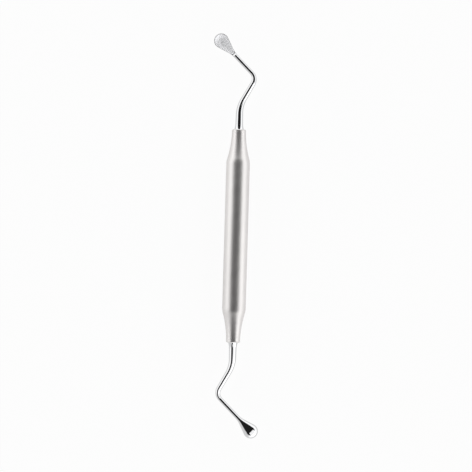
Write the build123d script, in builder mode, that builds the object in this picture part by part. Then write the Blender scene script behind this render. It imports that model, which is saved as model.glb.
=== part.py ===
from build123d import *
from math import acos, asin, atan2, cos, degrees, hypot, radians, sin, sqrt, tan
import os

# A double-ended bone curette lying on a flat surface.
# The handle runs along Y, the bends of both shanks lie level, and Z points up.
# The origin is on the surface, below the middle of the handle.
# Lengths are in millimetres and angles in degrees.

# Handle: a hollow barrel with a concave neck and a small collar at each end
handle_length = 90.0
grip_diameter = 10.0
collar_diameter = 5.9
collar_chamfer = 0.3
neck_curve_radius = 45.0
shoulder_curve_radius = 8.0
handle_wall = 1.0
hollow_cone_length = 3.0

# Joint: each working end has a tang that is fixed in a socket in the handle's neck
tang_diameter = 2.6
tang_length = 12.0
tang_chamfer = 0.3
socket_clearance = 0.02
socket_depth_spare = 1.5

# Shank: its centre line, from the collar face out to the spoon's neck
root_length = 10.0
slant_length = 13.8
slant_angle = 29.0
outer_length = 13.2
outer_angle = 45.0
bend_radius = 13.0
elbow_radius = 3.8

# Shank: its round section, which tapers outwards and is parallel from the elbow to the spoon
base_diameter = 4.2
base_flare_length = 2.6
root_diameter = 3.35
bend_diameter = 3.1
slant_diameter = 2.45
elbow_diameter = 2.25
neck_diameter = 1.85

# Spoon: a shallow cup with a pear-shaped outline and a flat rim
spoon_length = 11.4
spoon_width = 6.2
spoon_flare_radius = 8.0
back_depth = 1.85
face_height = 0.35
face_start = 1.6
face_runout_radius = 3.0
rim_width = 0.3
bowl_depth = 1.55
bowl_heel_offset = 1.65
spoon_sections = 6

# Derived places on the handle
grip_radius = grip_diameter / 2
collar_radius = collar_diameter / 2
collar_face = handle_length / 2
neck_turn = acos(1 - (grip_radius - collar_radius) / (neck_curve_radius + shoulder_curve_radius))
neck_length = (neck_curve_radius + shoulder_curve_radius) * sin(neck_turn)
barrel_end = collar_face - neck_length
socket_radius = tang_diameter / 2 + socket_clearance
socket_bottom = collar_face - tang_length - socket_depth_spare
handle_plane = Plane(origin=(0, 0, grip_radius), x_dir=(0, 1, 0), z_dir=(1, 0, 0))
handle_axis = Axis((0, 0, grip_radius), (0, 1, 0))
bend_plane = Plane.XY.offset(grip_radius)

# Derived shape of the spoon's outline: a concave flare at the neck, a straight side, a round end
neck_radius = neck_diameter / 2
spoon_radius = spoon_width / 2
round_centre = spoon_length - spoon_radius
flare_centre = neck_radius + spoon_flare_radius
centre_distance = hypot(round_centre, flare_centre)
side_angle = asin((spoon_radius + spoon_flare_radius) / centre_distance) - atan2(flare_centre, round_centre)
flare_end = spoon_flare_radius * sin(side_angle)
round_start = round_centre - spoon_radius * sin(side_angle)


def outline_half_width(distance):
    """Half the spoon's width at a distance from its neck, up to where the round end starts."""
    if distance < flare_end:
        return flare_centre - sqrt(spoon_flare_radius**2 - distance**2)
    flare_rise = spoon_flare_radius * (1 - cos(side_angle))
    return neck_radius + flare_rise + (distance - flare_end) * sin(side_angle) / cos(side_angle)


def back_half_depth(distance):
    """Depth of the spoon's back below its axis: round at the neck, flattened at the round end."""
    share = distance / round_start
    blend = share * share * (3 - 2 * share)
    flattening = 1 - blend * (1 - back_depth / spoon_radius)
    return outline_half_width(distance) * flattening


# Centre line of the upper shank, with its two bends
root_point = Vector(0, collar_face, grip_radius)
bend_corner = root_point + Vector(0, root_length)
elbow_corner = bend_corner + Vector(0, slant_length).rotate(Axis.Z, -slant_angle)
outer_direction = Vector(0, 1).rotate(Axis.Z, outer_angle)
neck_point = elbow_corner + outer_direction * outer_length

with BuildLine() as centre_line:
    FilletPolyline(root_point, bend_corner, elbow_corner, neck_point, radius=[bend_radius, elbow_radius])
shank_edges = centre_line.edges().sort_by(centre_line.wire())
shank_diameters = [
    root_diameter,
    bend_diameter,
    slant_diameter,
    elbow_diameter,
    neck_diameter,
    neck_diameter,
]

# Flare at the shank's base: a concave arc that meets the straight stretch without a corner
root_straight = root_length - bend_radius * tan(radians(slant_angle) / 2)
root_taper = (root_diameter - bend_diameter) / 2 / root_straight
flare_tip_radius = root_diameter / 2 - root_taper * base_flare_length
base_flare_rise = base_diameter / 2 - flare_tip_radius
base_flare_radius = (base_flare_length**2 + base_flare_rise**2) / 2 / base_flare_rise
root_plane = Plane(origin=root_point, x_dir=(0, 1, 0), z_dir=(1, 0, 0))

# Frame of the upper spoon: X runs from the neck to the tip, Z points out of the bowl
spoon_plane = Plane(origin=neck_point, x_dir=outer_direction, z_dir=(0, 0, 1))
rim_plane = spoon_plane.offset(face_height)
spoon_side_plane = Plane(
    origin=spoon_plane.origin,
    x_dir=outer_direction,
    z_dir=outer_direction.cross(Vector(0, 0, 1)),
)


def spoon_section_plane(distance):
    """Plane across the spoon at a distance from its neck, with its own X pointing up."""
    return Plane(
        origin=spoon_plane.origin + outer_direction * distance,
        x_dir=spoon_plane.z_dir,
        z_dir=outer_direction,
    )


with BuildPart() as handle:
    with BuildSketch(handle_plane):
        with BuildLine():
            middle = Line((0, 0), (0, grip_radius))
            barrel = Line(middle @ 1, (barrel_end, grip_radius))
            shoulder = JernArc(barrel @ 1, barrel % 1, shoulder_curve_radius, -degrees(neck_turn))
            neck = JernArc(shoulder @ 1, shoulder % 1, neck_curve_radius, degrees(neck_turn))
            Polyline(neck @ 1, (collar_face, 0), middle @ 0)
        make_face()
        mirror(about=Plane.YZ)
    revolve(axis=handle_axis)
    chamfer(
        handle.edges().group_by(Axis.Y)[0] + handle.edges().group_by(Axis.Y)[-1],
        length=collar_chamfer,
    )
    with BuildSketch(handle_plane):
        with BuildLine():
            Polyline(
                (0, 0),
                (0, grip_radius - handle_wall),
                (socket_bottom - hollow_cone_length, grip_radius - handle_wall),
                (socket_bottom, socket_radius),
                (collar_face, socket_radius),
                (collar_face, 0),
                close=True,
            )
        make_face()
        mirror(about=Plane.YZ)
    revolve(axis=handle_axis, mode=Mode.SUBTRACT)

# Hollow of the bowl: the hull of a large and a small circle, turned about its length and flattened
bowl_radius = spoon_radius - rim_width
with BuildPart() as bowl:
    with BuildSketch():
        with Locations((round_centre, 0)):
            Circle(bowl_radius)
        with Locations((bowl_heel_offset, 0)):
            Circle(outline_half_width(bowl_heel_offset) - rim_width)
        make_hull()
        split(bisect_by=Plane.XZ, keep=Keep.TOP)
    revolve(axis=Axis.X)
    scale(by=(1, 1, bowl_depth / bowl_radius))

# Round end of the spoon about its own centre: a ball whose lower half is flattened to the back's depth
with BuildPart() as round_end:
    Sphere(spoon_radius, arc_size1=-90, arc_size2=0, align=(Align.CENTER, Align.CENTER, Align.MAX))
    scale(by=(1, 1, back_depth / spoon_radius))
    Sphere(spoon_radius, arc_size1=0, arc_size2=90, align=(Align.CENTER, Align.CENTER, Align.MIN))
    split(bisect_by=Plane.YZ.offset(round_start - round_centre), keep=Keep.TOP)

with BuildPart() as upper_end:
    # Round shank: each stretch and bend of the centre line has its own taper
    for edge, start_diameter, end_diameter in zip(shank_edges, shank_diameters, shank_diameters[1:]):
        for place, diameter in ((0, start_diameter), (1, end_diameter)):
            with BuildSketch(Plane(origin=edge @ place, x_dir=(0, 0, 1), z_dir=edge % place)):
                Circle(diameter / 2)
        sweep(path=edge, multisection=True)

    # Neck and sides of the spoon, between the shank and the round end
    for station in range(spoon_sections):
        distance = round_start * station / (spoon_sections - 1)
        half_width = outline_half_width(distance)
        with BuildSketch(spoon_section_plane(distance)):
            with BuildLine():
                EllipticalCenterArc((0, 0), half_width, half_width, -90, arc_size=180)
                EllipticalCenterArc((0, 0), back_half_depth(distance), half_width, 90, arc_size=180)
            make_face()
    loft()
    add(round_end.part.moved(spoon_plane.location * Location((round_centre, 0, 0))))

    # Level face of the rim, with a runout that rises to the top of the shank, and the bowl in it
    with BuildSketch(spoon_side_plane):
        with BuildLine():
            face = Line((spoon_length + rim_width, face_height), (face_start, face_height))
            runout = JernArc(face @ 1, face % 1, face_runout_radius, -90)
            Polyline(runout @ 1, (spoon_length + rim_width, face_height + face_runout_radius), face @ 0)
        make_face()
    extrude(amount=spoon_width, both=True, mode=Mode.SUBTRACT)
    add(bowl.part.moved(rim_plane.location), mode=Mode.SUBTRACT)

    # Concave flare at the shank's base, and the tang behind it
    with BuildSketch(root_plane):
        with BuildLine():
            flare = RadiusArc(
                (0, base_diameter / 2),
                (base_flare_length, flare_tip_radius),
                -base_flare_radius,
            )
            Polyline(flare @ 1, (base_flare_length, 0), (0, 0), flare @ 0)
        make_face()
    revolve(axis=handle_axis)
    with BuildSketch(Plane(origin=root_point, z_dir=(0, -1, 0))):
        Circle(tang_diameter / 2)
    extrude(amount=tang_length)
    chamfer(upper_end.edges().group_by(Axis.Y)[0], length=tang_chamfer)

# The lower end is the twin of the upper one: turned half round, with its bowl facing the other way
with BuildPart() as lower_end:
    add(upper_end.part, rotation=(0, 0, 180))
    mirror(about=bend_plane, mode=Mode.REPLACE)

os.makedirs("parts", exist_ok=True)

handle.part.label = "handle"
export_step(handle.part, "parts/handle.step")
upper_end.part.label = "upper_end"
export_step(upper_end.part, "parts/upper_end.step")
lower_end.part.label = "lower_end"
export_step(lower_end.part, "parts/lower_end.step")
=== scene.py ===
from math import acos, asin, atan2, cos, hypot, pi, radians, sin, sqrt, tan

import bpy
import numpy as np
from bpy.props import FloatProperty, FloatVectorProperty, PointerProperty
from bpy.types import Operator, Panel, PropertyGroup
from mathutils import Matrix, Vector


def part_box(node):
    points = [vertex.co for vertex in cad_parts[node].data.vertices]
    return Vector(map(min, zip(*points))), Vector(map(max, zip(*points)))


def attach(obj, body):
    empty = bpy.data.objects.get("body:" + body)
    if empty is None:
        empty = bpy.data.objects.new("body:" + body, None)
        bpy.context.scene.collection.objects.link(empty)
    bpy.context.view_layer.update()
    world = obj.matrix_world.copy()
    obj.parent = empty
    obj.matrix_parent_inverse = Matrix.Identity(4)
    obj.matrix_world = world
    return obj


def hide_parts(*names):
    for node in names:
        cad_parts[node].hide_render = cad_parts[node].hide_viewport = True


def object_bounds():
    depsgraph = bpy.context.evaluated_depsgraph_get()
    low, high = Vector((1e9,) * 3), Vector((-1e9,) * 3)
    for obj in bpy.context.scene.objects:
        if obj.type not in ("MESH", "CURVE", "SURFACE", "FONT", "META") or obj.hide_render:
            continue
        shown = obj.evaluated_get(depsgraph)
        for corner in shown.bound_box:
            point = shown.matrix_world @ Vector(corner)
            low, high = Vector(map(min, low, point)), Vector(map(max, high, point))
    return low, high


bl_info = {
    "name": "Bone Curette",
    "version": (1, 0, 0),
    "blender": (4, 5, 0),
    "location": "View3D > Sidebar > Curette",
    "description": "A double-ended bone curette with a satin handle and polished working ends",
    "category": "Add Mesh",
}

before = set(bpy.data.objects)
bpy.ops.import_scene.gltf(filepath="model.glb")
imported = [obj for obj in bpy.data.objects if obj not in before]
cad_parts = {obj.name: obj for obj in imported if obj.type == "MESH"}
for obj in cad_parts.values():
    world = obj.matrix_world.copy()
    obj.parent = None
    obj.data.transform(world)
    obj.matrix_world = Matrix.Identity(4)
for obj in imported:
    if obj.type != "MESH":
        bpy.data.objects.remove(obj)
CAD_LOW, CAD_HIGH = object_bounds()
HANDLE_LOW, HANDLE_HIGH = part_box("handle")
MM = 0.001
END_NAMES = {"upper_end": "polished_upper_end", "lower_end": "polished_lower_end"}
GRIP_DIAMETER = HANDLE_HIGH.z - HANDLE_LOW.z
HANDLE_LENGTH = HANDLE_HIGH.y - HANDLE_LOW.y
HANDLE_HEIGHT = (HANDLE_HIGH.z + HANDLE_LOW.z) / 2

# Rings along each stretch, from the handle's middle to the spoon's tip
BARREL_RINGS = 30
SHOULDER_RINGS = 14
NECK_RINGS = 40
FLARE_RINGS = 16
ROOT_RINGS = 6
BEND_RINGS = 22
SLANT_RINGS = 8
ELBOW_RINGS = 36
OUTER_RINGS = 12
APPROACH_RINGS = 8
LIP_RINGS = 24
SIDE_RINGS = 44
BOWL_RINGS = 40
ROUND_END_RINGS = 70
# Rings of the spoon less than this apart, in metres, become one
CLOSEST_RINGS = 4e-6
# The bowl's heel has one ring for so many of its nose
HEEL_STEP = 3

# Points round each ring
HANDLE_POINTS = 192
BELOW_POINTS = 57
SIDE_POINTS = 10
EDGE_POINTS = 5
RIM_POINTS = 6
DISH_POINTS = 22

# Edges stay sharp where faces meet at more than this angle
CREASE = radians(28)
# The approach rings start at so many times the distance of the lip from the spoon's neck
APPROACH = 3
# The side's points take the first share of a quarter circle along the shank, and the sum of both
# at the spoon's neck. The change is spread over so many radii of the neck.
TOP_SHARE = (0.5, 0.47)
GATHERING = 4
# The rim's rounding keeps at least the first share of its size, and takes at most the second
# share of the room it has
THINNEST_EDGE = 0.05
EDGE_ROOM = 0.3

# Darkest and lightest shade of a steel, as shares of its colour
SHADES = (0.95, 1.05)
# Noise of the fine grain, and the part of a noise's range that the bowls' patches spread out
FINE = {"detail": 3.0, "roughness": 0.6}
PATCH_RANGE = (0.32, 0.68)
# How far each noise varies the roughness, and the strength of each bump
SATIN_GRAIN = 0.10
SATIN_CLOUD = 0.06
SATIN_BUMP = 0.35
POLISH_HAZE = 0.05
BOWL_GRAIN = 0.08
BOWL_MOTTLE = 0.08
BOWL_BUMP = 0.25
# The tent's corner shade goes from none to all between these cosines
CORNER_STEP = (0.75, 0.97)


def length(name, default, description):
    """A size in metres, shown in the scene's own units."""
    return FloatProperty(
        name=name,
        default=default,
        min=0.0,
        subtype="DISTANCE",
        unit="LENGTH",
        precision=5,
        description=description,
    )


def turn(name, default, description):
    """An angle, given in degrees."""
    return FloatProperty(
        name=name,
        default=radians(default),
        subtype="ANGLE",
        unit="ROTATION",
        description=description,
    )


def share(name, default, description):
    """A number from 0 to 1."""
    return FloatProperty(name=name, default=default, min=0.0, max=1.0, description=description)


def colour(name, default, description):
    """A linear red, green and blue."""
    return FloatVectorProperty(
        name=name,
        default=default,
        size=3,
        min=0.0,
        max=1.0,
        subtype="COLOR",
        description=description,
    )


def positive(name, default, description):
    """A number with no upper limit."""
    return FloatProperty(name=name, default=default, min=0, description=description)


class CuretteHandle(PropertyGroup):
    """Sizes of the hollow handle."""

    length: length("Length", HANDLE_LENGTH, "From one collar's face to the other")
    grip_diameter: length("Grip diameter", GRIP_DIAMETER, "Across the straight barrel")
    collar_diameter: length("Collar diameter", 5.9 * MM, "Across the handle at a shank")
    collar_chamfer: length("Collar chamfer", 0.3 * MM, "Bevel round the collar's face")
    neck_curve: length("Neck curve", 45 * MM, "Radius of the concave neck")
    shoulder_curve: length("Shoulder curve", 8 * MM, "Radius where the neck meets the barrel")
    wall: length("Wall", 1.0 * MM, "Thickness of the barrel's wall")
    hollow_cone: length("Hollow cone", 3.0 * MM, "Length of the cone at each end of the hollow")
    socket_radius: length("Socket radius", 1.32 * MM, "Radius of the hole that takes a tang")
    socket_depth: length("Socket depth", 13.5 * MM, "From the collar's face to the hollow")


class CuretteEnd(PropertyGroup):
    """Sizes of a working end."""

    tang_diameter: length("Tang diameter", 2.6 * MM, "Across the tang in the handle's socket")
    tang_length: length("Tang length", 12 * MM, "Depth of the tang in the handle")
    tang_chamfer: length("Tang chamfer", 0.3 * MM, "Bevel at the tang's end")
    root_length: length("Root length", 10 * MM, "Collar to the corner of the first bend")
    slant_length: length("Slant length", 13.8 * MM, "Between the corners of the two bends")
    outer_length: length("Outer length", 13.2 * MM, "Elbow's corner to the spoon's neck")
    slant_angle: turn("Slant angle", 29, "Middle stretch against the handle's axis")
    outer_angle: turn("Outer angle", 45, "Outer stretch against the handle's axis")
    bend_radius: length("Bend radius", 13 * MM, "Centre line's radius at the first bend")
    elbow_radius: length("Elbow radius", 3.8 * MM, "Centre line's radius at the elbow")
    base_diameter: length("Base diameter", 4.2 * MM, "Across the flare that seats on the collar")
    base_flare: length("Base flare", 2.6 * MM, "Length of the flare")
    root_diameter: length("Root diameter", 3.35 * MM, "Across the shank at the handle")
    bend_diameter: length("Bend diameter", 3.1 * MM, "Across the shank before the first bend")
    slant_diameter: length("Slant diameter", 2.45 * MM, "Across the shank after the first bend")
    elbow_diameter: length("Elbow diameter", 2.25 * MM, "Across the shank before the elbow")
    neck_diameter: length("Neck diameter", 1.85 * MM, "Across the shank beyond the elbow")


class CuretteSpoon(PropertyGroup):
    """Sizes of a spoon."""

    length: length("Length", 11.4 * MM, "Neck to tip")
    width: length("Width", 6.2 * MM, "Across the round end")
    flare_radius: length("Flare radius", 8 * MM, "Radius of the concave sides at the neck")
    back_depth: length("Back depth", 1.85 * MM, "Depth of the back below the shank's axis")
    face_height: length("Face height", 0.35 * MM, "Height of the rim above the shank's axis")
    face_start: length("Face start", 1.6 * MM, "Neck to where the rim's face is level")
    runout_radius: length("Runout radius", 3 * MM, "Radius of the rise from the face to the shank")
    rim_width: length("Rim width", 0.3 * MM, "Width of the level rim")
    rim_edge: length("Rim edge", 0.04 * MM, "Rounding of the rim's edges")
    rim_matt: share("Rim finish", 0.7, "From polished to as matt as the bowl")
    bowl_depth: length("Bowl depth", 1.55 * MM, "Depth of the bowl below the rim")
    heel_offset: length("Heel offset", 1.65 * MM, "Neck to the centre of the bowl's small end")


class CuretteSteel(PropertyGroup):
    """Colours and finishes of the steel."""

    satin: colour("Satin steel", (0.71, 0.692, 0.682), "Blasted handle")
    polished: colour("Polished steel", (0.62, 0.622, 0.628), "Shanks and backs of the spoons")
    bowl: colour("Bowl", (0.82, 0.822, 0.832), "Matt inside of the bowls")
    satin_roughness: share("Satin roughness", 0.43, "Spread of the handle's reflections")
    polished_roughness: share("Polished roughness", 0.06, "Spread of the shanks' reflections")
    bowl_roughness: share("Bowl roughness", 0.76, "Spread of the bowls' reflections")
    grain: length("Grain", 0.09 * MM, "Size of the blasted grain")
    relief: length("Relief", 0.02 * MM, "Depth of the blasted grain")
    mottle: length("Mottle", 0.55 * MM, "Size of the cloudy patches in the bowls")
    cloud: length("Cloud", 3.5 * MM, "Size of the faint clouds on the handle")
    haze: length("Haze", 1.6 * MM, "Size of the uneven patches in the polish")


class CuretteStage(PropertyGroup):
    """Floor, light and camera."""

    floor: colour("Floor", (0.93, 0.93, 0.93), "Plain pale floor")
    floor_size: length("Floor size", 4.0, "Side of the square floor")
    whiteness: share("Whiteness", 0.94, "How far the floor shows white whatever its shadow")
    tent_strength: positive("Tent", 1.6, "Light of the white tent")
    hood_strength: positive("Hood", 0.02, "Light of the dark hood")
    hood_width: turn("Hood width", 46, "Half the angle of the dark hood across the handle")
    hood_length: turn("Hood length", 48, "Half the angle of the dark hood along the handle")
    hood_softness: share("Hood softness", 0.2, "Softness of the hood's edge")
    corner_shade: share("Corner shade", 0.4, "How much greyer the tent is in its near left corner")
    box_power: FloatProperty(
        name="Soft box",
        default=2.4,
        min=0,
        subtype="POWER",
        description="Large soft lamp that lights the working ends",
    )
    box_width: length("Soft box width", 0.74, "Across the lamp")
    box_height: length("Soft box height", 0.74, "From the lamp's lower edge to its upper edge")
    box_distance: length("Soft box distance", 0.7, "From the middle of the handle")
    box_side: turn("Soft box side", 46, "Turned from the right towards the lower end")
    box_slope: turn("Soft box slope", 41, "From straight overhead")
    lens: FloatProperty(name="Lens", default=135, min=1, description="Focal length in millimetres")
    lean: turn("Lean", 1.65, "How far the handle leans to the right in the picture")
    margin: positive("Margin", 68 / 472, "Share of the picture's height above and below")


# Surfaces


def arc(centre, radius, start, end, count):
    """Points on a circle in a plane: the centre plus the radius at evenly spaced angles."""
    angles = np.linspace(start, end, count)
    circle = np.stack([np.cos(angles), np.sin(angles)], axis=1)
    return np.array(centre) + radius * circle


def grid_faces(rings, around, closed):
    """Quads between neighbouring rings of a grid that wraps round, and between its last ring
    and its first where it is closed."""
    ring = np.arange(rings if closed else rings - 1)[:, None]
    step = np.arange(around)[None, :]
    following = (ring + 1) % rings
    right = (step + 1) % around
    this_ring, next_ring = ring * around, following * around
    corners = [this_ring + step, next_ring + step, next_ring + right, this_ring + right]
    return np.stack(corners, axis=-1).reshape(-1, 4)


def make_mesh(name, points, faces, material):
    """A smooth mesh object at the origin, whose edges stay sharp where faces meet at more than
    the crease angle."""
    mesh = bpy.data.meshes.new(name)
    mesh.from_pydata(points.reshape(-1, 3).tolist(), [], list(faces))
    mesh.validate()
    mesh.polygons.foreach_set("use_smooth", np.ones(len(mesh.polygons), dtype=bool))
    mesh.set_sharp_from_angle(angle=CREASE)
    mesh.materials.append(material)
    mesh.update()
    piece = bpy.data.objects.new(name, mesh)
    bpy.context.scene.collection.objects.link(piece)
    return piece


def handle_profile(sizes):
    """The handle's section as distance along the axis and radius. It runs from the middle of the
    barrel over one collar, in through its socket and back along the hollow, then through the
    same at the other end. The neck is a concave arc that leaves the collar parallel to the axis,
    and a convex arc carries it on to the barrel."""
    grip = sizes.grip_diameter / 2
    collar = sizes.collar_diameter / 2
    end = sizes.length / 2
    neck_turn = acos(1 - (grip - collar) / (sizes.neck_curve + sizes.shoulder_curve))
    neck_length = (sizes.neck_curve + sizes.shoulder_curve) * sin(neck_turn)
    barrel_end = end - neck_length
    shoulder = arc(
        (barrel_end, grip - sizes.shoulder_curve),
        sizes.shoulder_curve,
        pi / 2,
        pi / 2 - neck_turn,
        SHOULDER_RINGS,
    )
    neck = arc(
        (end, collar + sizes.neck_curve),
        sizes.neck_curve,
        -pi / 2 - neck_turn,
        -pi / 2,
        NECK_RINGS,
    )
    neck = neck[neck[:, 0] < end - sizes.collar_chamfer]
    straight = np.linspace(0, barrel_end, BARREL_RINGS)[:-1]
    barrel = np.stack([straight, np.full(len(straight), grip)], axis=1)
    hollow_end = end - sizes.socket_depth
    inside = np.array(
        [
            (end - sizes.collar_chamfer, collar),
            (end, collar - sizes.collar_chamfer),
            (end, sizes.socket_radius),
            (hollow_end, sizes.socket_radius),
            (hollow_end - sizes.hollow_cone, grip - sizes.wall),
            (0, grip - sizes.wall),
        ]
    )
    half = np.concatenate([barrel, shoulder, neck[1:], inside])
    other = half[1:-1][::-1] * (-1, 1)
    return np.concatenate([half, other])


def handle_surface(sizes, height, around):
    """The closed profile carried round the handle's axis: radius times cosine and sine at each
    angle."""
    profile = handle_profile(sizes)
    angles = np.linspace(0, 2 * pi, around, endpoint=False)
    along = np.repeat(profile[:, :1], around, axis=1)
    radius = profile[:, 1:]
    points = np.stack([radius * np.cos(angles), along, height + radius * np.sin(angles)], axis=-1)
    return points, grid_faces(len(profile), around, True)


def route(sizes, distance):
    """The shank's centre line: three straight stretches joined by two arcs. The heading is the
    angle from the handle's axis. It changes evenly along each arc, and the place is the integral
    of its cosine and sine. Gives the place and the heading at each distance from the collar, and
    the distances where the stretches meet."""
    bend = sizes.bend_radius * tan(sizes.slant_angle / 2)
    elbow = sizes.elbow_radius * tan((sizes.slant_angle + sizes.outer_angle) / 2)
    stretches = [
        (sizes.root_length - bend, 0),
        (sizes.bend_radius * sizes.slant_angle, -1 / sizes.bend_radius),
        (sizes.slant_length - bend - elbow, 0),
        (sizes.elbow_radius * (sizes.slant_angle + sizes.outer_angle), 1 / sizes.elbow_radius),
        (sizes.outer_length - elbow, 0),
    ]
    place = np.stack([0 * distance, distance], axis=1)
    heading = 0 * distance
    corner = np.zeros(2)
    start, facing = 0.0, 0.0
    for reach, curve in stretches:
        past = distance >= start
        along = distance[past] - start
        ahead = facing + curve * along
        if curve:
            change = [np.cos(ahead) - cos(facing), np.sin(ahead) - sin(facing)]
            run = np.stack(change, axis=1) / curve
        else:
            run = np.stack([-sin(facing) * along, cos(facing) * along], axis=1)
        place[past] = corner + run
        heading[past] = ahead
        end = facing + curve * reach
        if curve:
            corner = corner + np.array([cos(end) - cos(facing), sin(end) - sin(facing)]) / curve
        else:
            corner = corner + reach * np.array([-sin(facing), cos(facing)])
        start, facing = start + reach, end
    marks = np.cumsum([0] + [reach for reach, _ in stretches])
    return place, heading, marks


def shank_radius(sizes, distance, marks):
    """Half the shank's thickness: it tapers evenly along each stretch, and a concave arc that
    meets the taper without a corner flares it at the collar."""
    diameters = [
        sizes.root_diameter,
        sizes.bend_diameter,
        sizes.slant_diameter,
        sizes.elbow_diameter,
        sizes.neck_diameter,
        sizes.neck_diameter,
    ]
    taper = np.interp(distance, marks, diameters) / 2
    tip = np.interp(sizes.base_flare, marks, diameters) / 2
    rise = sizes.base_diameter / 2 - tip
    curve = (sizes.base_flare**2 + rise**2) / 2 / rise
    back = np.clip(sizes.base_flare - distance, 0, sizes.base_flare)
    flare = np.where(back > 0, tip + curve - np.sqrt(curve**2 - back**2), 0)
    return np.maximum(taper, flare)


class Spoon:
    """The spoon's outline and depths at a distance from its neck. Each side is a concave arc, and
    a straight line that touches both the arc and the round end. The bowl's outline is the hull
    of a large and a small circle."""

    def __init__(self, sizes, neck):
        self.sizes = sizes
        self.neck = neck
        self.radius = sizes.width / 2
        self.centre = sizes.length - self.radius
        self.flare_centre = neck + sizes.flare_radius
        reach = hypot(self.centre, self.flare_centre)
        lean = atan2(self.flare_centre, self.centre)
        self.side_angle = asin((self.radius + sizes.flare_radius) / reach) - lean
        self.flare_end = sizes.flare_radius * sin(self.side_angle)
        self.round_start = self.centre - self.radius * sin(self.side_angle)
        self.bowl_radius = self.radius - sizes.rim_width
        self.heel_radius = float(self.side(sizes.heel_offset)) - sizes.rim_width
        bowl_reach = self.centre - sizes.heel_offset
        self.bowl_angle = asin((self.bowl_radius - self.heel_radius) / bowl_reach)
        self.heel_start = sizes.heel_offset - self.heel_radius
        drop = sizes.runout_radius - (neck - sizes.face_height)
        self.lip_start = sizes.face_start - sqrt(sizes.runout_radius**2 - drop**2)

    def side(self, distance):
        """Half the width before the round end."""
        near = np.clip(distance, 0, self.flare_end)
        flare = self.flare_centre - np.sqrt(self.sizes.flare_radius**2 - near**2)
        return flare + np.maximum(distance - self.flare_end, 0) * tan(self.side_angle)

    def half_width(self, distance):
        """Half the width from the neck to the tip."""
        beyond = np.sqrt(np.maximum(self.radius**2 - (distance - self.centre) ** 2, 0))
        return np.where(distance < self.round_start, self.side(distance), beyond)

    def half_depth(self, distance):
        """Depth of the back: round at the neck, flattened by a smooth step to the round end."""
        part = np.clip(distance / self.round_start, 0, 1)
        blend = part * part * (3 - 2 * part)
        return self.half_width(distance) * (1 - blend * (1 - self.sizes.back_depth / self.radius))

    def face(self, distance):
        """Height of the level face and of the arc that rises from it to the shank."""
        back = np.clip(self.sizes.face_start - distance, 0, self.sizes.runout_radius)
        rise = self.sizes.runout_radius - np.sqrt(self.sizes.runout_radius**2 - back**2)
        return self.sizes.face_height + rise

    def bowl(self, distance):
        """Half the bowl's width at the rim, and nothing outside it."""
        past_heel = distance - self.sizes.heel_offset
        heel = np.sqrt(np.maximum(self.heel_radius**2 - past_heel**2, 0))
        nose = np.sqrt(np.maximum(self.bowl_radius**2 - (distance - self.centre) ** 2, 0))
        straight = self.heel_radius / cos(self.bowl_angle) + past_heel * tan(self.bowl_angle)
        first = self.sizes.heel_offset - self.heel_radius * sin(self.bowl_angle)
        last = self.centre - self.bowl_radius * sin(self.bowl_angle)
        return np.where(distance < first, heel, np.where(distance < last, straight, nose))

    def stations(self):
        """Distances of the rings, close together where an edge starts, ends or turns back."""
        quarter = np.linspace(0, pi / 2, BOWL_RINGS)
        lip_length = self.sizes.face_start - self.lip_start
        lip = self.lip_start + lip_length * np.linspace(0, 1, LIP_RINGS) ** 2
        heel = self.heel_start + self.heel_radius * (1 - np.cos(quarter[::HEEL_STEP]))
        sides = np.linspace(self.sizes.face_start, self.round_start, SIDE_RINGS)
        around_end = np.linspace(-self.side_angle, pi / 2, ROUND_END_RINGS)[:-1]
        round_end = self.centre + self.radius * np.sin(around_end)
        nose = self.centre + self.bowl_radius * np.sin(quarter)
        every = np.sort(np.concatenate([lip, heel, sides, round_end, nose]))
        return every[np.concatenate([[True], np.diff(every) > CLOSEST_RINGS])]


def row(start, end, count):
    """Evenly spaced numbers as one row, to go with a column of rings."""
    return np.linspace(start, end, count)[None, :]


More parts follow.
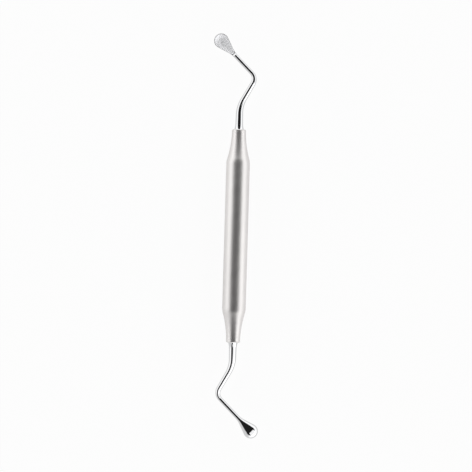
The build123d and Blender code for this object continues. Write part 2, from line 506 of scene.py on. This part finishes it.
def end_sections(spoon, distance, radius):
    """Cross-sections of a working end, one row for each ring, as places to the right and up. Along
    the shank a section is a circle. Along the spoon its lower half is a flattened half circle, and
    its upper half is a circle cut off level at the face, with rounded edges, and dished by the
    bowl. The dish is the face's height less the root of the bowl's half width squared less the
    place across squared, times the bowl's depth over its largest half width. Each section starts
    at the left, passes below and returns over the top. A third array tells how matt each point
    is."""
    sizes = spoon.sizes
    on_spoon = distance > 0
    width = np.where(on_spoon, spoon.half_width(distance), radius)[:, None]
    depth = np.where(on_spoon, spoon.half_depth(distance), radius)[:, None]
    face = spoon.face(distance)[:, None]
    cut = (distance > spoon.lip_start)[:, None] & (face < width)
    face = np.where(cut, face, 0.0)
    bowl = spoon.bowl(distance)[:, None] * cut
    dished = bowl > sizes.rim_edge / 2

    # Rounded outer edge of the face, which dies away where the face runs out
    edge = sizes.rim_edge * np.clip((width - face) / sizes.rim_width, THINNEST_EDGE, 1) * cut
    shoulder = np.sqrt(np.maximum(width**2 - (face - edge) ** 2, 0))
    edge = np.minimum(edge, EDGE_ROOM * np.maximum(shoulder - bowl * dished, 0))
    nearness = np.clip(1 + distance / (GATHERING * spoon.neck), 0, 1)[:, None]
    uncut = pi / 2 * (TOP_SHARE[0] + TOP_SHARE[1] * nearness)
    climb = np.where(cut, np.arcsin(np.clip((face - edge) / width, 0, 1)), uncut)
    shoulder = width * np.cos(climb)
    quarter = row(0, pi / 2, EDGE_POINTS)
    outer_y = shoulder - edge + edge * np.cos(quarter)
    outer_z = face - edge + edge * np.sin(quarter)

    # Level rim, the bowl's rounded edge, and the dish
    inner_edge = np.minimum(edge, EDGE_ROOM * bowl)
    dish = row(0, pi / 2, DISH_POINTS)[:, 1:]
    rim_share = row(0, 1, RIM_POINTS)[:, 1:-1]
    rim_y = shoulder - edge + rim_share * (bowl + inner_edge - shoulder + edge)
    inner_y = bowl + inner_edge - inner_edge * np.sin(quarter)
    inner_z = face - inner_edge + inner_edge * np.cos(quarter)
    dish_y = bowl * np.cos(dish)
    steep = sizes.bowl_depth / spoon.bowl_radius
    dish_z = sizes.face_height - steep * np.sqrt(np.maximum(bowl**2 - dish_y**2, 0))
    dished_y = np.concatenate([outer_y, rim_y, inner_y, dish_y], axis=1)
    dished_z = np.concatenate([outer_z, face + 0 * rim_y, inner_z, dish_z], axis=1)

    # Level face without a bowl, and the round top of the shank
    around = dished_y.shape[1]
    level = row(1, 0, around - outer_y.shape[1] + 1)[:, 1:]
    flat_y = np.concatenate([outer_y, (shoulder - edge) * level], axis=1)
    flat_z = np.concatenate([outer_z, face + 0 * level], axis=1)
    dome = climb + (pi / 2 - climb) * row(0, 1, around)
    top_y = np.where(dished, dished_y, np.where(cut, flat_y, width * np.cos(dome)))
    top_z = np.where(dished, dished_z, np.where(cut, flat_z, width * np.sin(dome)))

    # Matt in the bowl, honed on the face, polished elsewhere
    runout = (distance - spoon.lip_start) / (sizes.face_start - spoon.lip_start)
    honed = sizes.rim_matt * np.clip(runout, 0, 1)[:, None] * cut
    inside = honed + (1 - honed) * dished
    edge_matt = honed + (inside - honed) * quarter / (pi / 2)
    top_matt = [0 * outer_y, honed + 0 * rim_y, edge_matt, inside + 0 * dish_y]

    # Right side, then the whole ring: below, up the right side and over to the left one
    side = row(0, 1, SIDE_POINTS)[:, :-1] * climb
    right_y = np.concatenate([width * np.cos(side), top_y], axis=1)
    right_z = np.concatenate([width * np.sin(side), top_z], axis=1)
    right_matt = np.concatenate([0 * side] + top_matt, axis=1)
    below = row(-pi, 0, BELOW_POINTS)[:, :-1]
    left = slice(-2, 0, -1)
    y = np.concatenate([width * np.cos(below), right_y, -right_y[:, left]], axis=1)
    z = np.concatenate([depth * np.sin(below), right_z, right_z[:, left]], axis=1)
    matt = np.concatenate([0 * width * below, right_matt, right_matt[:, left]], axis=1)
    return y, z, matt


def end_surface(sizes, spoon_sizes, collar_face, height):
    """A working end as one closed skin: its sections carried along the shank's centre line. A
    section's own right is the handle's right, turned by the heading."""
    _, _, marks = route(sizes, np.zeros(1))
    spoon = Spoon(spoon_sizes, sizes.neck_diameter / 2)
    chamfer = sizes.tang_chamfer
    tang = sizes.tang_diameter / 2
    tang_places = -sizes.tang_length + np.array([0, chamfer, 0.5 * sizes.tang_length])
    tang_radii = np.array([tang - chamfer, tang, tang])
    steps = [
        (0, sizes.base_flare, FLARE_RINGS),
        (sizes.base_flare, marks[1], ROOT_RINGS),
        (marks[1], marks[2], BEND_RINGS),
        (marks[2], marks[3], SLANT_RINGS),
        (marks[3], marks[4], ELBOW_RINGS),
        (marks[4], marks[5], OUTER_RINGS),
    ]
    shank = np.concatenate([np.linspace(low, high, count)[:-1] for low, high, count in steps])
    approach = APPROACH * spoon.lip_start
    shank = shank[shank < marks[5] + approach]
    neck = marks[5] + np.linspace(approach, spoon.lip_start, APPROACH_RINGS)[:-1]
    spoon_places = marks[5] + spoon.stations()
    distance = np.concatenate([tang_places, [0], shank, neck, spoon_places])
    radius = shank_radius(sizes, distance, marks)
    radius[: len(tang_radii)] = tang_radii
    radius[len(tang_radii)] = tang
    place, heading, _ = route(sizes, distance)
    y, z, matt = end_sections(spoon, distance - marks[5], radius)
    points = np.stack(
        [
            place[:, :1] + y * np.cos(heading)[:, None],
            collar_face + place[:, 1:] + y * np.sin(heading)[:, None],
            height + z,
        ],
        axis=-1,
    )
    around = points.shape[1]
    faces = grid_faces(len(points), around, False).tolist()
    faces.append(tuple(range(around)))
    faces.append(tuple(range((len(points) - 1) * around, len(points) * around))[::-1])
    return points, faces, matt


# Materials


class Socket:
    """A node's output, with the arithmetic that adds Math nodes behind it."""

    def __init__(self, tree, output):
        self.tree = tree
        self.output = output

    def math(self, operation, *values):
        return self.tree.add("ShaderNodeMath", {"operation": operation}, *values)

    def __add__(self, other):
        return self.math("ADD", self, other)

    def __radd__(self, other):
        return self.math("ADD", other, self)

    def __sub__(self, other):
        return self.math("SUBTRACT", self, other)

    def __rsub__(self, other):
        return self.math("SUBTRACT", other, self)

    def __mul__(self, other):
        return self.math("MULTIPLY", self, other)

    def __rmul__(self, other):
        return self.math("MULTIPLY", other, self)

    def __truediv__(self, other):
        return self.math("DIVIDE", self, other)

    def below(self, limit):
        return self.math("LESS_THAN", self, limit)

    def root(self):
        return self.math("SQRT", self)

    def either(self, other):
        return self.math("MAXIMUM", self, other)


class Tree:
    """A node tree that is filled by one method."""

    def __init__(self, owner):
        owner.use_nodes = True
        self.nodes = owner.node_tree.nodes
        self.links = owner.node_tree.links
        self.nodes.clear()

    def add(self, kind, settings, *values, out=0, **named):
        """Adds a node, sets it up, then fills its sockets by place or by name, and returns one
        output."""
        node = self.nodes.new(kind)
        for setting, value in settings.items():
            setattr(node, setting, value)
        sockets = list(zip(node.inputs, values))
        sockets += [(node.inputs[name.replace("_", " ")], value) for name, value in named.items()]
        for socket, value in sockets:
            if isinstance(value, Socket):
                self.links.new(value.output, socket)
            else:
                socket.default_value = value
        return Socket(self, node.outputs[out]) if node.outputs else None

    def object_place(self):
        return self.add("ShaderNodeTexCoord", {}, out="Object")

    def noise(self, place, size, detail=2.0, roughness=0.5):
        """Noise with lumps of about the size given, in metres, from 0 to 1."""
        return self.add(
            "ShaderNodeTexNoise",
            {},
            out="Fac",
            Vector=place,
            Scale=1 / size,
            Detail=detail,
            Roughness=roughness,
        )

    def patches(self, place, size):
        """Noise spread out over nearly its whole range, for patches that show."""
        noise = self.noise(place, size, detail=3.0)
        return self.add("ShaderNodeMapRange", {}, noise, *PATCH_RANGE)

    def bump(self, height, strength, relief):
        """A normal that follows a height."""
        return self.add(
            "ShaderNodeBump",
            {},
            out="Normal",
            Strength=strength,
            Distance=relief,
            Height=height,
        )

    def mix_colour(self, factor, first, second):
        """A colour between two others."""
        node = self.nodes.new("ShaderNodeMix")
        node.data_type = "RGBA"
        for name, value in (("Factor_Float", factor), ("A_Color", first), ("B_Color", second)):
            socket = next(s for s in node.inputs if s.identifier == name)
            if isinstance(value, Socket):
                self.links.new(value.output, socket)
            else:
                socket.default_value = value
        output = next(s for s in node.outputs if s.identifier == "Result_Color")
        return Socket(self, output)


def opaque(rgb, brightness=1.0):
    """A colour made lighter or darker, with full alpha."""
    return tuple(channel * brightness for channel in rgb) + (1.0,)


def satin_steel(finish):
    """Blasted steel: a fine even grain, faint clouding of the colour, and roughness that follows
    both."""
    material = bpy.data.materials.new("satin_steel")
    tree = Tree(material)
    place = tree.object_place()
    grain = tree.noise(place, finish.grain, **FINE)
    cloud = tree.noise(place, finish.cloud)
    uneven = (grain - 0.5) * SATIN_GRAIN
    surface = tree.add(
        "ShaderNodeBsdfPrincipled",
        {},
        Base_Color=tree.mix_colour(cloud, *(opaque(finish.satin, shade) for shade in SHADES)),
        Metallic=1.0,
        Roughness=finish.satin_roughness + uneven + (cloud - 0.5) * SATIN_CLOUD,
        Normal=tree.bump(grain, SATIN_BUMP, finish.relief),
    )
    tree.add("ShaderNodeOutputMaterial", {}, surface)
    return material


def working_steel(finish):
    """Hand-polished steel, nearly a mirror, whose polish is a little uneven. The piece's matt
    attribute is 1 inside the bowl, which is blasted: rougher, lighter and mottled, with a fine
    grain."""
    material = bpy.data.materials.new("working_steel")
    tree = Tree(material)
    place = tree.object_place()
    matt = tree.add("ShaderNodeAttribute", {"attribute_name": "matt"}, out="Fac")
    haze = tree.noise(place, finish.haze, detail=3.0)
    grain = tree.noise(place, finish.grain, **FINE)
    mottle = tree.patches(place, finish.mottle)
    polished = finish.polished_roughness + (haze - 0.5) * POLISH_HAZE
    blasted = finish.bowl_roughness + (grain - 0.5) * BOWL_GRAIN + (mottle - 0.5) * BOWL_MOTTLE
    bowl = tree.mix_colour(mottle, *(opaque(finish.bowl, shade) for shade in SHADES))
    surface = tree.add(
        "ShaderNodeBsdfPrincipled",
        {},
        Base_Color=tree.mix_colour(matt, opaque(finish.polished), bowl),
        Metallic=1.0,
        Roughness=polished + matt * (blasted - polished),
        Normal=tree.bump(grain * matt, BOWL_BUMP, finish.relief),
    )
    tree.add("ShaderNodeOutputMaterial", {}, surface)
    return material


def floor_material(stage):
    """A pale floor that shows nearly white, both straight on and in the steel, with the shadow
    kept."""
    material = bpy.data.materials.new("pale_floor")
    tree = Tree(material)
    path = tree.nodes.new("ShaderNodeLightPath").outputs
    camera = Socket(tree, path["Is Camera Ray"])
    glossy = Socket(tree, path["Is Glossy Ray"])
    through = Socket(tree, path["Is Transmission Ray"])
    lit = tree.add("ShaderNodeBsdfDiffuse", {}, opaque(stage.floor))
    white = tree.add("ShaderNodeEmission", {}, opaque((1, 1, 1)), 1.0)
    seen = camera.either(glossy).either(through)
    surface = tree.add("ShaderNodeMixShader", {}, seen * stage.whiteness, lit, white)
    tree.add("ShaderNodeOutputMaterial", {}, surface)
    return material


def studio_world(stage):
    """A white tent with a dark hood overhead; seen straight on it is plain white. The hood is an
    oval of directions. The slopes away from straight up, across the handle and along it, are
    each taken over the slope of the hood's edge, squared and added, and the sum is under one
    inside the hood. The tent is greyer in its near left corner, by how nearly a direction's
    level part points there."""
    world = bpy.data.worlds.new("white_tent")
    tree = Tree(world)
    direction = tree.add("ShaderNodeTexCoord", {}, out="Generated")
    parts = tree.nodes.new("ShaderNodeSeparateXYZ")
    tree.links.new(direction.output, parts.inputs[0])
    across, along, up = (Socket(tree, output) for output in parts.outputs)
    width = across / (up * tan(stage.hood_width))
    run = along / (up * tan(stage.hood_length))
    edge = tree.add(
        "ShaderNodeMapRange",
        {"interpolation_type": "SMOOTHSTEP"},
        Value=width * width + run * run,
        From_Min=1 - stage.hood_softness,
        From_Max=1 + stage.hood_softness,
    )
    outside = edge.either(up.below(0.0))
    towards_corner = (across + along) * -sqrt(0.5) / (across * across + along * along).root()
    corner = tree.add(
        "ShaderNodeMapRange",
        {"interpolation_type": "SMOOTHSTEP"},
        towards_corner,
        *CORNER_STEP,
    )
    tent = stage.tent_strength * (1 - corner * stage.corner_shade)
    strength = stage.hood_strength + outside * (tent - stage.hood_strength)
    camera = tree.add("ShaderNodeLightPath", {}, out="Is Camera Ray")
    seen = camera + (1 - camera) * strength
    surface = tree.add("ShaderNodeBackground", {}, opaque((1, 1, 1)), seen)
    tree.add("ShaderNodeOutputWorld", {}, surface)
    return world


# Operators


class CURETTE_OT_handle(Operator):
    """Make the satin handle"""

    bl_idname = "curette.handle"
    bl_label = "Handle"

    def execute(self, context):
        sizes = context.scene.curette_handle
        points, faces = handle_surface(sizes, HANDLE_HEIGHT, HANDLE_POINTS)
        material = satin_steel(context.scene.curette_steel)
        piece = make_mesh("satin_handle", points, faces, material)
        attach(piece, "root")
        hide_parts("handle")
        return {"FINISHED"}


class CURETTE_OT_ends(Operator):
    """Make the two working ends"""

    bl_idname = "curette.ends"
    bl_label = "Working ends"

    def execute(self, context):
        scene = context.scene
        material = working_steel(scene.curette_steel)
        collar_face = scene.curette_handle.length / 2
        points, faces, matt = end_surface(
            scene.curette_end, scene.curette_spoon, collar_face, HANDLE_HEIGHT
        )

        # The lower end is the upper one's point reflection in the handle's middle
        reflected = points * (-1, -1, -1) + (0, 0, 2 * HANDLE_HEIGHT)
        turned_faces = [tuple(face)[::-1] for face in faces]
        surfaces = {"upper_end": (points, faces), "lower_end": (reflected, turned_faces)}
        for node, surface in surfaces.items():
            piece = make_mesh(END_NAMES[node], *surface, material)
            finish = piece.data.attributes.new("matt", "FLOAT", "POINT")
            finish.data.foreach_set("value", matt.ravel())
            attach(piece, "root")
            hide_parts(node)
            "polished_steel_" + node.split("_")[0]
        return {"FINISHED"}


class CURETTE_OT_stage(Operator):
    """Make the floor, the light and the camera"""

    bl_idname = "curette.stage"
    bl_label = "Stage"

    def execute(self, context):
        stage = context.scene.curette_stage
        scene = context.scene
        half = stage.floor_size / 2
        signs = np.array([(-1, -1, 0), (1, -1, 0), (1, 1, 0), (-1, 1, 0)])
        corners = half * signs
        floor = make_mesh("floor", corners, [(0, 1, 2, 3)], floor_material(stage))
        scene.world = studio_world(stage)

        # The soft box lights the two ends alone, through light linking
        lamp = bpy.data.lights.new("soft_box", "AREA")
        lamp.shape = "RECTANGLE"
        lamp.size = stage.box_height
        lamp.size_y = stage.box_width
        lamp.energy = stage.box_power
        box = bpy.data.objects.new("soft_box", lamp)
        box.rotation_euler = (0, stage.box_slope, -stage.box_side)
        box.location = box.rotation_euler.to_matrix() @ Vector((0, 0, stage.box_distance))
        box.visible_camera = False
        ends = bpy.data.collections.new("lit_by_soft_box")
        for name in END_NAMES.values():
            ends.objects.link(bpy.data.objects[name])
        box.light_linking.receiver_collection = ends
        scene.collection.objects.link(box)

        middle = (CAD_LOW + CAD_HIGH) / 2
        span = (CAD_HIGH.y - CAD_LOW.y) / (1 - stage.margin)
        camera = bpy.data.cameras.new("camera")
        camera.lens = stage.lens
        viewer = bpy.data.objects.new("camera", camera)
        away = span / 2 / (camera.sensor_width / 2 / camera.lens)
        viewer.location = (middle.x, middle.y, middle.z + away)
        viewer.rotation_euler = (0, 0, stage.lean)
        scene.collection.objects.link(viewer)
        scene.camera = viewer
        scene.view_settings.view_transform = "Standard"
        return {"FINISHED"}


class CURETTE_PT_sidebar(Panel):
    """The pieces of the curette and their sizes"""

    bl_idname = "CURETTE_PT_sidebar"
    bl_label = "Bone curette"
    bl_space_type = "VIEW_3D"
    bl_region_type = "UI"
    bl_category = "Curette"

    def draw(self, context):
        column = self.layout.column()
        for maker, groups in MAKERS.items():
            column.operator(maker.bl_idname)
            for group in groups:
                settings = getattr(context.scene, group)
                for name in settings.bl_rna.properties.keys():
                    if name not in ("rna_type", "name"):
                        column.prop(settings, name)


GROUPS = {
    "curette_handle": CuretteHandle,
    "curette_end": CuretteEnd,
    "curette_spoon": CuretteSpoon,
    "curette_steel": CuretteSteel,
    "curette_stage": CuretteStage,
}
MAKERS = {
    CURETTE_OT_handle: ["curette_handle", "curette_steel"],
    CURETTE_OT_ends: ["curette_end", "curette_spoon"],
    CURETTE_OT_stage: ["curette_stage"],
}


def register():
    for group in GROUPS.values():
        bpy.utils.register_class(group)
    for name, group in GROUPS.items():
        setattr(bpy.types.Scene, name, PointerProperty(type=group))
    for maker in MAKERS:
        bpy.utils.register_class(maker)
    bpy.utils.register_class(CURETTE_PT_sidebar)


def unregister():
    bpy.utils.unregister_class(CURETTE_PT_sidebar)
    for maker in reversed(MAKERS):
        bpy.utils.unregister_class(maker)
    for name, group in reversed(GROUPS.items()):
        delattr(bpy.types.Scene, name)
        bpy.utils.unregister_class(group)


def main():
    register()
    bpy.ops.curette.handle()
    bpy.ops.curette.ends()
    bpy.ops.curette.stage()


if __name__ == "__main__":
    main()
